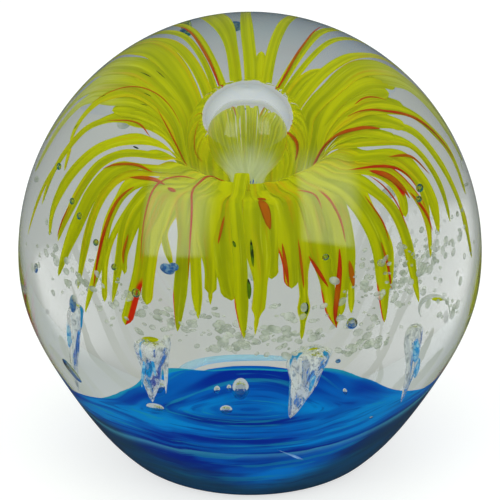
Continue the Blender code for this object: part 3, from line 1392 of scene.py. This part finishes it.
@dataclass(frozen=True)
class OpenRing(Shape):
    """A bubble drawn into an open ring on edge: half sizes, degrees spanned, thickness, fullest place."""

    outward: float
    upward: float
    ends: Span
    thick: float
    fullest: float
    along: int = 24
    around: int = 12

    def skin(self) -> tuple[np.ndarray, ...]:
        """Its rows from end to end.

        Returns:
            The rows.
        """
        share = np.linspace(0.0, 1.0, self.along)[:, None]
        turn = np.radians(self.ends[0] + (self.ends[1] - self.ends[0]) * share)
        spine = np.hstack([np.zeros_like(turn), np.cos(turn) * self.outward, np.sin(turn) * self.upward])
        away = spine / np.linalg.norm(spine, axis=1, keepdims=True)
        body = 0.4 + 0.6 * hump(turn, math.radians(self.fullest), 0.8)
        girth = self.thick * body * np.sqrt(np.sin(math.pi * (0.01 + 0.98 * share)))
        angle = angles(self.around)[None, :, None]
        tube = np.cos(angle) * away[:, None] + np.sin(angle) * np.array([1.0, 0.0, 0.0])
        return (spine[:, None] + girth[:, None] * tube,)


@dataclass(frozen=True)
class Teardrop(Shape):
    """A turned bubble: pairs of radius and level down its axis, which leans more towards its end."""

    outline: tuple[Span, ...]
    lean: Span = (0.0, 0.0)
    rough: float = 0.0
    seed: int = 1
    thinnest: float = 0.0008
    rings: int = 60
    around: int = 64

    def skin(self) -> tuple[np.ndarray, ...]:
        """Its rows from top to bottom, then its two ends.

        Returns:
            The rows and the ends.
        """
        line = Run(self.outline).spread(np.linspace(0.0, 1.0, self.rings + 2)[1:-1])
        radius, level = line[:, :1], line[:, 1:]
        turn = angles(self.around)[None, :]
        phases = np.random.default_rng(self.seed).uniform(0, 2 * math.pi, 2)
        waves = np.sin(3 * turn + 30 * level + phases[0]) + np.sin(5 * turn - 47 * level + phases[1])
        radius = np.maximum(radius, self.thinnest) * (1.0 + self.rough * waves)
        top, bottom = self.outline[0][1], self.outline[-1][1]
        down = (top - level) / (top - bottom)
        parts = np.broadcast_arrays(
            radius * np.cos(turn) + self.lean[0] * down, radius * np.sin(turn) + self.lean[1] * down, level)
        return np.stack(parts, axis=-1), np.array([0.0, 0.0, top]), np.array([*self.lean, bottom])


@dataclass(frozen=True)
class Wisp:
    """A thin wisp of glass, through azimuths, reaches and levels, that swells and thins out again."""

    route: tuple[Spot, ...]
    breadth: float
    depth: float
    lateness: float = 1.0
    along: int = 60
    around: int = 10

    def add(self, draft: Draft, seat: Seat) -> None:
        """Adds the wisp, with a mark for its body.

        Args:
            draft: the mesh that it joins.
            seat: where the ball stands.
        """
        squeezed = Run([(azimuth * SQUEEZE, reach, level) for azimuth, reach, level in self.route])
        spine = squeezed.spread(np.linspace(0.0, 1.0, self.along))
        taper = np.sin(math.pi * np.linspace(0.013, 0.987, self.along) ** self.lateness)[:, None]
        angle = angles(self.around)[None, :]
        reach = spine[:, 1:2] + self.breadth * taper * np.cos(angle)
        level = spine[:, 2:3] + self.depth * taper * np.sin(angle)
        draft.skin(seat.at(spine[:, :1] / SQUEEZE, reach, level), body=taper)


@dataclass(frozen=True)
class Inlay:
    """A piece sealed in the ball: shapes that share one finish, and a slot name, which is not used."""

    name: str
    finish: Finish
    slot: str
    shapes: Sequence[Shape | Wisp]

    def build(self, seat: Seat) -> None:
        """Makes the piece.

        Args:
            seat: where the ball stands.
        """
        draft = Draft()
        for shape in self.shapes:
            shape.add(draft, seat)
        draft.make(self.name, self.finish.build())


@dataclass(frozen=True)
class Wisps:
    """The wisp that floats clear of the bed behind, and the pale streak under its front."""

    seat: Seat
    blue: Wisp = Wisp((
        (-160.0, 0.54, -0.492), (-163.0, 0.57, -0.498), (-168.0, 0.61, -0.507), (-174.0, 0.64, -0.513),
        (-180.0, 0.645, -0.514), (-186.0, 0.64, -0.512), (-191.0, 0.62, -0.506), (-194.0, 0.59, -0.500)),
        0.012, 0.005)
    pale: Wisp = Wisp(
        ((7.6, 0.820, -0.531), (11.6, 0.797, -0.570), (16.8, 0.768, -0.621)), 0.0035, 0.0085, 1.8)

    def build(self) -> None:
        """Makes the two wisps."""
        Inlay("blue_wisp", Veil(), "blue_glass", (self.blue,)).build(self.seat)
        Inlay("pale_streak", BLUE_FRIT, "white_frit", (self.pale,)).build(self.seat)


@dataclass(frozen=True)
class CentreBubble:
    """The large bubble in the throat of the flower, domed over the fold."""

    seat: Seat
    outline: tuple[Span, ...] = (
        (0.0, 0.594), (0.072, 0.579), (0.132, 0.538), (0.172, 0.478), (0.187, 0.405), (0.178, 0.33),
        (0.156, 0.24), (0.128, 0.15), (0.092, 0.06), (0.052, -0.01), (0.018, -0.04), (0.0, -0.05))
    azimuth: float = -90.0
    reach: float = 0.008

    def build(self) -> None:
        """Makes the bubble."""
        drop = Teardrop(self.azimuth, self.reach, 0.0, self.outline)
        Inlay("centre_bubble", Air(), "clear_glass", (drop,)).build(self.seat)


@dataclass(frozen=True)
class Icicle:
    """One long bubble: its place, the level of its cap, its length and girth, and its lean."""

    azimuth: float
    reach: float
    cap: float
    length: float
    girth: float
    lean: Span = (0.0, 0.0)


@dataclass(frozen=True)
class Icicles:
    """The ring of long bubbles that hang like icicles between the flower and the bed."""

    seat: Seat
    outline: tuple[Span, ...] = (
        (0.0, 0.02), (0.045, 0.012), (0.066, -0.01), (0.066, -0.05), (0.052, -0.10), (0.040, -0.16),
        (0.026, -0.22), (0.010, -0.28), (0.0, -0.30))
    places: tuple[Icicle, ...] = (
        Icicle(-36.8, 0.56, -0.14, 0.70, 0.85, (-0.03, -0.06)),
        Icicle(24.3, 0.53, -0.155, 0.76, 1.02, (-0.075, -0.03)),
        Icicle(67.0, 0.58, -0.17, 0.83, 0.46, (-0.055, 0.0)),
        Icicle(-72.6, 0.58, -0.12, 0.98, 0.42, (-0.02, 0.0)),
        Icicle(-33.9, 0.50, -0.13, 0.60, 0.22))
    air: Air = Air("crackled_air", wrinkle=0.6, wrinkle_scale=600.0, drawn=0.2)
    skin: float = 1.04
    rough: float = 0.07
    dabs: tuple[Bubble, ...] = (
        Bubble(-36.6, 0.57, -0.122, (0.034, 0.014, 0.009), -8.0),
        Bubble(25.4, 0.54, -0.150, (0.036, 0.014, 0.010), 12.0),
        Bubble(77.5, 0.61, -0.105, (0.044, 0.010, 0.006), 22.0))

    def drops(self, swell: float) -> list[Teardrop]:
        """The long bubbles, or the skins round them.

        Args:
            swell: how much fatter than the bubbles they are.

        Returns:
            The shapes.
        """
        return [
            Teardrop(
                place.azimuth, place.reach, 0.0,
                tuple((radius * place.girth * swell, place.cap + level * place.length * swell)
                      for radius, level in self.outline),
                place.lean, self.rough, number)
            for number, place in enumerate(self.places)]

    def build(self) -> None:
        """Makes the icicles, their crackled skins and the dabs of yellow on their caps."""
        Inlay("icicles", self.air, "clear_glass", self.drops(1.0)).build(self.seat)
        Inlay("icicle_frost", Frost(), "clear_glass", self.drops(self.skin)).build(self.seat)
        Inlay("yellow_dabs", PetalGlass(), "yellow_glass", self.dabs).build(self.seat)


@dataclass(frozen=True)
class Drift:
    """A drift of flecks: how many, about which azimuth and level, and how widely they scatter."""

    count: int
    azimuth: float
    spread: float
    level: float
    scatter: float


@dataclass(frozen=True)
class Belt:
    """The belt of half melted flecks of pale glass that rings the ball among the petals' tips."""

    seat: Seat
    drifts: tuple[Drift, ...] = (
        Drift(130, 0.0, 48.0, -0.005, 0.055), Drift(90, -6.0, 14.0, -0.03, 0.045),
        Drift(34, 37.0, 6.0, -0.13, 0.012), Drift(165, 58.0, 14.0, 0.11, 0.05),
        Drift(50, -60.0, 16.0, 0.04, 0.05), Drift(24, 180.0, 40.0, -0.02, 0.05),
        Drift(12, 78.0, 2.5, -0.15, 0.018))
    reach: Span = (0.61, 0.71)
    smallest: float = 0.006
    larger: float = 0.018
    thickness: Span = (0.004, 0.007)
    flatness: Span = (0.4, 0.85)
    lean: float = 35.0
    rings: int = 6
    around: int = 12
    lone: Bubble = Bubble(16.0, 0.715, 0.085, (0.013, 0.004, 0.019), 0.0, rings, around)
    ring: OpenRing = OpenRing(79.0, 0.59, -0.150, 0.066, 0.050, (-35.0, 205.0), 0.010, 125.0)
    seed: int = 41

    def fleck(self, drift: Drift, rng: np.random.Generator) -> Bubble:
        """One fleck of a drift.

        Args:
            drift: the drift.
            rng: the source of its place and size.

        Returns:
            The fleck.
        """
        azimuth = rng.normal(drift.azimuth, drift.spread)
        breadth = self.smallest + self.larger * rng.uniform() ** 1.6
        size = (breadth, rng.uniform(*self.thickness), breadth * rng.uniform(*self.flatness))
        reach = rng.uniform(*self.reach)
        level = rng.normal(drift.level, drift.scatter)
        lean = rng.uniform(-self.lean, self.lean)
        return Bubble(azimuth, reach, level, size, lean, self.rings, self.around)

    def build(self) -> None:
        """Makes the flecks, drift by drift, and the open ring at the end of the belt."""
        rng = np.random.default_rng(self.seed)
        flecks = [self.fleck(drift, rng) for drift in self.drifts for _ in range(drift.count)]
        shapes = (*flecks, self.lone, self.ring)
        Inlay("belt_of_flecks", PALE_FRIT, "white_frit", shapes).build(self.seat)


@dataclass(frozen=True)
class Strays:
    """What lies singly in the clear glass: bubbles, crumbs of blue, and streaks down the icicles."""

    seat: Seat
    loose: tuple[Bubble, ...] = (
        Bubble(-166.0, 0.100, -0.409, (0.022, 0.022, 0.016)),
        Bubble(-34.0, 0.120, -0.414, (0.018, 0.018, 0.012)),
        Bubble(-151.6, 0.173, -0.421, (0.008, 0.008, 0.005)),
        Bubble(-162.4, 0.172, -0.422, (0.006, 0.006, 0.004)),
        Bubble(-131.5, 0.291, -0.416, (0.013, 0.013, 0.008)),
        Bubble(-67.8, 0.294, -0.412, (0.040, 0.020, 0.012)),
        Bubble(133.1, 0.309, -0.424, (0.005, 0.005, 0.004)),
        Bubble(48.1, 0.564, -0.456, (0.008, 0.008, 0.006)),
        Bubble(-62.7, 0.72, -0.31, (0.062, 0.018, 0.020), 34.0),
        Bubble(31.6, 0.70, -0.015, (0.022, 0.022, 0.022)),
        Bubble(-85.4, 0.70, -0.031, (0.014, 0.010, 0.017)))
    on_petals: tuple[Bubble, ...] = (
        Bubble(23.2, 0.71, 0.272, (0.014, 0.012, 0.013)),
        Bubble(-35.6, 0.71, 0.096, (0.018, 0.014, 0.018)),
        Bubble(62.7, 0.71, 0.409, (0.020, 0.016, 0.016)),
        Bubble(61.2, 0.71, 0.370, (0.016, 0.014, 0.012)),
        Bubble(-61.0, 0.71, 0.30, (0.013, 0.011, 0.014)),
        Bubble(-66.0, 0.71, 0.335, (0.014, 0.011, 0.013)),
        Bubble(-52.0, 0.71, 0.235, (0.013, 0.011, 0.013)),
        Bubble(-44.0, 0.71, 0.17, (0.012, 0.010, 0.013)),
        Bubble(-167.0, 0.60, 0.303, (0.012, 0.012, 0.012)),
        Bubble(-80.7, 0.70, 0.394, (0.018, 0.012, 0.012)))
    crumbs: tuple[Bubble, ...] = (
        Bubble(-25.6, 0.70, 0.215, (0.030, 0.012, 0.020), 12.0),
        Bubble(-23.6, 0.70, 0.228, (0.020, 0.012, 0.016)),
        Bubble(-72.0, 0.60, -0.10, (0.018, 0.010, 0.032)),
        Bubble(27.6, 0.68, -0.159, (0.010, 0.010, 0.008)),
        Bubble(-175.0, 0.45, 0.478, (0.020, 0.016, 0.016)),
        Bubble(-160.0, 0.50, 0.44, (0.010, 0.008, 0.008)))
    streaks: tuple[Bubble, ...] = (
        Bubble(64.0, 0.61, -0.235, (0.018, 0.008, 0.034), 6.0),
        Bubble(66.0, 0.60, -0.295, (0.014, 0.006, 0.034), 14.0),
        Bubble(-38.5, 0.585, -0.235, (0.006, 0.005, 0.060), 8.0),
        Bubble(-34.5, 0.585, -0.21, (0.006, 0.005, 0.036), -14.0),
        Bubble(22.5, 0.565, -0.245, (0.008, 0.005, 0.040), 18.0),
        Bubble(-74.0, 0.60, -0.20, (0.006, 0.010, 0.050), -4.0))
    air: Air = Air("small_bubble", (0.70, 0.75, 0.79, 1.0))
    petal_air: Air = Air("tinted_bubble", (0.78, 0.84, 0.30, 1.0))

    def build(self) -> None:
        """Makes the four kinds of stray, one piece each."""
        Inlay("loose_bubbles", self.air, "clear_glass", self.loose).build(self.seat)
        Inlay("petal_bubbles", self.petal_air, "clear_glass", self.on_petals).build(self.seat)
        Inlay("blue_crumbs", BLUE_CRUMB, "blue_glass", self.crumbs).build(self.seat)
        Inlay("turquoise_streaks", TURQUOISE, "blue_glass", self.streaks).build(self.seat)

# ------------------------------------------------------------------ the studio


def mirrored(recipe: Recipe) -> Wire:
    """1 for light that the glass mirrors rather than lets through."""
    straight = 1.0 - recipe.node("LightPath", output="Is Transmission Ray")
    return recipe.node("LightPath", output="Is Glossy Ray") * straight


@dataclass(frozen=True)
class PaleFloor(Finish):
    """The plain floor: pale, bright to the eye and dark where the glass mirrors it."""

    name: str = "pale_floor"
    darker: Colour = (0.45, 0.475, 0.45, 1.0)
    lighter: Colour = (0.47, 0.495, 0.47, 1.0)
    dim: Colour = (0.06, 0.065, 0.07, 1.0)
    white: Colour = (1.0, 1.0, 1.0, 1.0)
    grain: float = 30.0
    glow: float = 0.62

    def surface(self, recipe: Recipe) -> Wire:
        """A faintly mottled grey, lifted to white where the camera sees it."""
        grey = recipe.blend(recipe.noise(recipe.place(), self.grain), self.darker, self.lighter)
        grey = recipe.blend(mirrored(recipe), grey, self.dim)
        plain = recipe.node("BsdfDiffuse", sockets={"Color": grey})
        glow = recipe.node("Emission", sockets={"Color": self.white, "Strength": self.glow})
        bright = recipe.node("AddShader", sockets={0: plain, 1: glow})
        seen = recipe.node("LightPath", output="Is Camera Ray")
        return recipe.node("MixShader", sockets={0: seen, 1: plain, 2: bright})


@dataclass(frozen=True)
class Softbox:
    """One lamp: degrees right of and above the camera's axis, broad, high and rolled, and its radiance."""

    right: float
    above: float
    broad: float
    high: float
    roll: float
    radiance: float


@dataclass(frozen=True)
class Studio:
    """The floor, the soft light and the camera."""

    seat: Seat
    raised: float = 24.0
    distance: float = 12.0
    lens: float = 199.6
    aim: float = 0.0075
    clip: Span = (0.01, 20.0)
    floor_half: float = 60.0
    lamp_distance: float = 18.0
    lamps: tuple[Softbox, ...] = (Softbox(-35, 16, 38, 44, 14, 2.3), Softbox(41, 22, 34, 46, -27, 2.3))
    backdrop: Colour = (1.0, 1.0, 1.0, 1.0)
    haze: Colour = (0.41, 0.45, 0.425, 1.0)
    sky: Colour = (0.61, 0.66, 0.665, 1.0)
    fill: Colour = (0.95, 0.95, 0.95, 1.0)
    dim: Colour = (0.06, 0.065, 0.07, 1.0)
    overhead: Colour = (0.07, 0.115, 0.15, 1.0)
    sky_span: Span = (-0.3, 0.7)
    room_span: Span = (0.0, 0.8)
    bounces: int = 24
    glass_bounces: int = 20
    clear_bounces: int = 16

    def view(self) -> tuple[Vector, Vector]:
        """The directions back to the camera and up across its view."""
        rise = math.radians(self.raised)
        return Vector((0.0, -math.cos(rise), math.sin(rise))), Vector((0.0, math.sin(rise), math.cos(rise)))

    def add_camera(self) -> None:
        """Puts up the camera and makes it the scene's own."""
        back, upward = self.view()
        data = bpy.data.cameras.new("camera")
        data.lens = self.lens
        data.clip_start, data.clip_end = self.clip
        camera = put_in_scene("camera", data)
        target = Vector(self.seat.middle) + upward * self.aim * self.seat.radius
        camera.location = target + back * self.distance * self.seat.radius
        camera.rotation_euler = back.to_track_quat("Z", "Y").to_euler()
        bpy.context.scene.camera = camera

    def add_lamp(self, number: int, lamp: Softbox) -> None:
        """Hangs one softbox, facing the ball, with soft edges to its cloth.

        Args:
            number: its number in its name.
            lamp: where it hangs, how large it looks from the ball and how bright it is.
        """
        back, upward = self.view()
        turn, tip = math.radians(lamp.right), math.radians(lamp.above)
        level = back * math.cos(turn) + Vector((1.0, 0.0, 0.0)) * math.sin(turn)
        way = level * math.cos(tip) + upward * math.sin(tip)
        far = self.lamp_distance * self.seat.radius
        data = bpy.data.lights.new(f"softbox_{number}", "AREA")
        data.shape = "RECTANGLE"
        data.size = 2 * far * math.tan(math.radians(lamp.broad / 2))
        data.size_y = 2 * far * math.tan(math.radians(lamp.high / 2))
        data.energy = lamp.radiance * math.pi * data.size * data.size_y
        data.use_nodes = True
        recipe = Recipe(data.node_tree)
        cloth = recipe.node("NewGeometry", output="Parametric")
        side, up = recipe.part(cloth, 0), recipe.part(cloth, 1)
        glow = recipe.step(side, 0.0, 0.15) * recipe.step(side, 1.0, 0.72) * recipe.step(up, 1.0, 0.5)
        lit = recipe.node("Emission", sockets={"Strength": glow * recipe.step(up, 0.0, 0.07)})
        recipe.end(lit, "OutputLight")
        light = put_in_scene(data.name, data)
        light.location = Vector(self.seat.middle) + way * far
        facing = way.to_track_quat("Z", "Y") @ Quaternion((0.0, 0.0, 1.0), math.radians(lamp.roll))
        light.rotation_euler = facing.to_euler()

    def add_world(self) -> None:
        """Makes the room: a white backdrop, and soft light that is greyer low down."""
        world = bpy.data.worlds.new("room")
        world.use_nodes = True
        bpy.context.scene.world = world
        recipe = Recipe(world.node_tree)
        height = recipe.part(recipe.node("TexCoord", output="Generated"), 2)
        through = recipe.blend(recipe.step(height, *self.sky_span), self.haze, self.sky)
        lighting = recipe.node("LightPath", output="Diffuse Depth")
        colour = recipe.blend(recipe.step(lighting, 0.0, 1.0), through, self.fill)
        room = recipe.blend(recipe.step(height, *self.room_span), self.dim, self.overhead)
        colour = recipe.blend(mirrored(recipe), colour, room)
        colour = recipe.blend(recipe.node("LightPath", output="Is Camera Ray"), colour, self.backdrop)
        recipe.end(recipe.node("Background", sockets={"Color": colour}), "OutputWorld")

    def add_floor(self) -> None:
        """Lays the plain pale floor."""
        half = self.floor_half * self.seat.radius
        mesh = bpy.data.meshes.new("floor")
        corners = [(-half, -half, 0.0), (half, -half, 0.0), (half, half, 0.0), (-half, half, 0.0)]
        mesh.from_pydata(corners, [], [(0, 1, 2, 3)])
        mesh.materials.append(PaleFloor().build())
        floor = put_in_scene("floor", mesh)

    def build(self) -> None:
        """Sets up the whole studio."""
        self.add_camera()
        for number, lamp in enumerate(self.lamps):
            self.add_lamp(number, lamp)
        self.add_world()
        self.add_floor()
        scene = bpy.context.scene
        scene.view_settings.view_transform = "Standard"
        scene.cycles.use_denoising = True
        scene.cycles.max_bounces = self.bounces
        scene.cycles.transmission_bounces = self.glass_bounces
        scene.cycles.transparent_max_bounces = self.clear_bounces


# ---------------------------------------------------------------------- making


def main() -> None:
    """Builds the studio, then the ball and all that is sealed in it."""
    logging.basicConfig(level=logging.INFO, format="%(message)s")
    low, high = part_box(CAD_NODE)
    radius = (high.x - low.x) / 2
    seat = Seat(radius, ((high.x + low.x) / 2, (high.y + low.y) / 2, high.z - CROWN * radius))
    ball = Ball(seat, foot=(seat.middle[2] - low.z) / radius)
    Studio(seat).build()
    ball.build()
    Flower(seat).build()
    Bed(ball).build()
    Wisps(seat).build()
    CentreBubble(seat).build()
    Icicles(seat).build()
    Belt(seat).build()
    Strays(seat).build()


if __name__ == "__main__":
    main()
